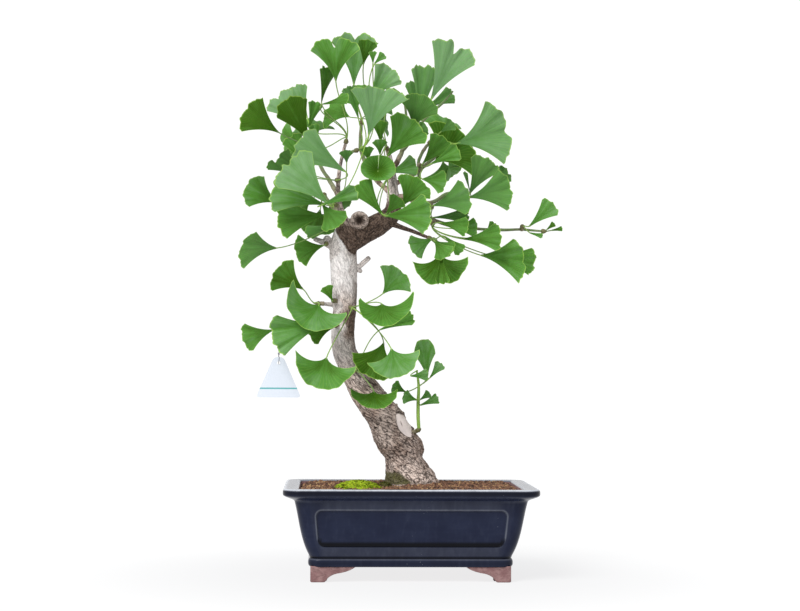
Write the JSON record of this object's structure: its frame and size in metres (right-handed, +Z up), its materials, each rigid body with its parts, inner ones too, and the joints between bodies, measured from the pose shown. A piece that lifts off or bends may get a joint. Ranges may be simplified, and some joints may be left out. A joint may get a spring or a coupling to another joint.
{
  "type": "ginkgo bonsai",
  "caption": "Ginkgo bonsai with a curved trunk and fan-shaped leaves, rooted in soil in a glazed rectangular pot on bracket feet, with a blank hang tag.",
  "frame": {"origin": "under the middle of the whole tree and pot, on the ground that the feet stand on", "axes": "+Z up the tree, +X to the viewer's right and +Y away from the viewer, who faces the long front wall of the pot"},
  "size_m": [0.3414, 0.1992, 0.5739],
  "materials": {
    "glaze": "dark navy glaze, glossy, thin and slate grey along the edges; feet bare dusty clay",
    "soil": "loose red-brown baked clay granules, matte",
    "moss": "soft bright green moss",
    "bark": "grey fissured bark, paler and smoother above",
    "leaf": "satin green leaf with fine fan veins and a yellow-green margin",
    "plastic": "moulded black mesh",
    "card": "smooth white card with a plain teal line",
    "thread": "grey cotton thread"
  },
  "bodies": {
    "root": {"pot": "glaze", "drain_mesh_left": "plastic", "drain_mesh_right": "plastic", "soil": "soil", "moss_mound": "moss", "moss_patch": "moss", "trunk": "bark", "spray_leader": "leaf", "spray_crest": "leaf", "spray_bright": "leaf", "spray_left_high": "leaf", "spray_left_broad": "leaf", "spray_left_front": "leaf", "spray_left_low": "leaf", "spray_stub_leaf": "leaf", "spray_centre_high": "leaf", "spray_centre_front": "leaf", "spray_right_high": "leaf", "spray_right_far": "leaf", "spray_right_inner": "leaf", "spray_right_centre": "leaf", "spray_right_mid": "leaf", "spray_right_tip": "leaf", "spray_right_low": "leaf", "spray_hanging": "leaf", "spray_long_tip": "leaf", "spray_twig_end": "leaf", "spray_trunk_spur": "leaf", "spray_stub_pair": "leaf", "spray_left_trunk": "leaf", "spray_low_spur": "leaf", "spray_small_left": "leaf", "spray_basal_shoot": "leaf", "spray_back_left": "leaf", "spray_back_mid": "leaf", "spray_back_right": "leaf", "spray_back_low": "leaf", "tag_thread": "thread", "hang_tag": "card"}
  },
  "joints": []
}
